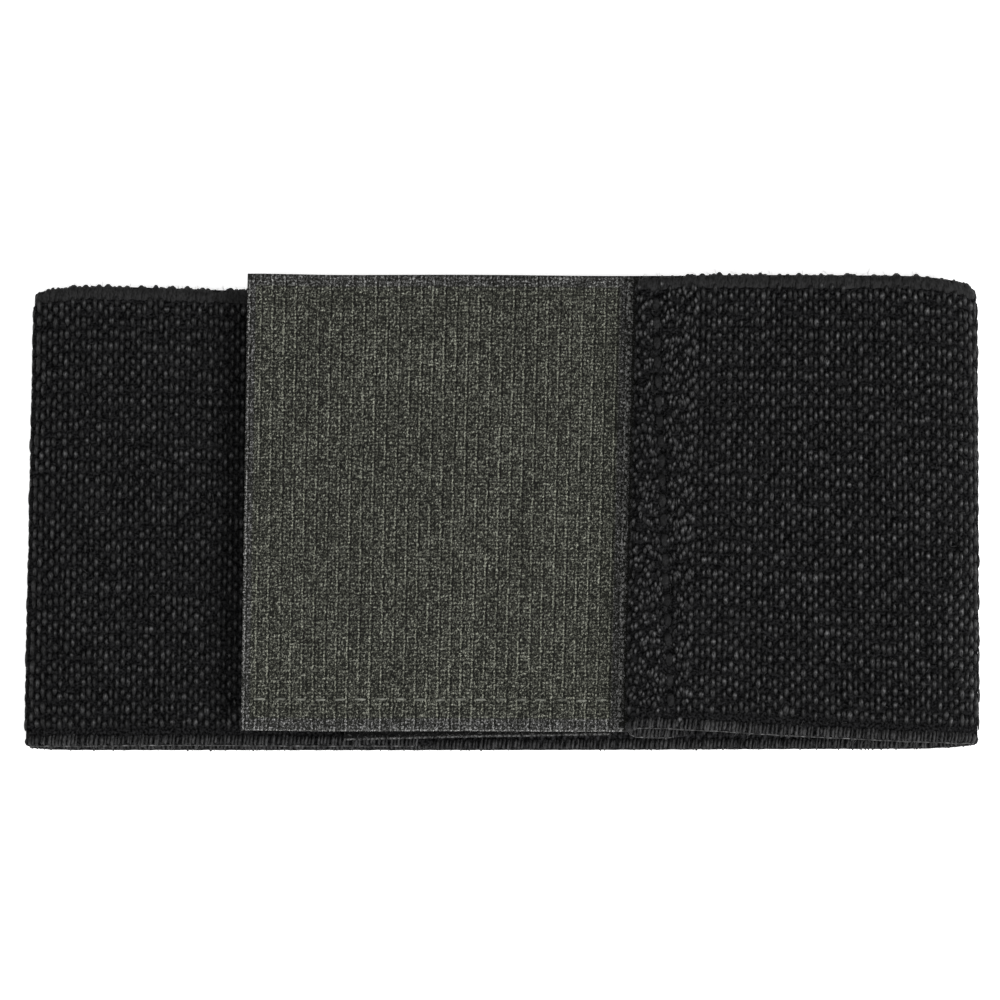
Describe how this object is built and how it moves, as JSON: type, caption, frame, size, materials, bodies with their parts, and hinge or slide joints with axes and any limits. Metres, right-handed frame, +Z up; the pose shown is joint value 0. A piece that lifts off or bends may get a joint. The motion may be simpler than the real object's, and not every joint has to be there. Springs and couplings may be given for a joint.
{
  "type": "blousing garter",
  "caption": "Wide black woven elastic garter, closed into a flattened loop by an olive-grey hook-and-loop tab.",
  "frame": {"origin": "under the middle of the whole garter, on the surface it lies on", "axes": "+X along the flattened band, with the tab's hem to the right of the tab; +Y across the band's width; +Z up off the surface, towards the tab"},
  "size_m": [0.1218, 0.0612, 0.0086],
  "materials": {
    "black_elastic": "woven polyester over rubber, matt with a slight thread sheen",
    "olive_tape": "fine woven nylon tape, matt",
    "olive_hooks": "nylon hook tape",
    "grey_loops": "brushed nylon loop pile"
  },
  "bodies": {
    "root": {"elastic_band": "black_elastic", "tab_backing": "olive_tape", "hook_tape": "olive_hooks", "loop_tape": "grey_loops"}
  },
  "joints": []
}
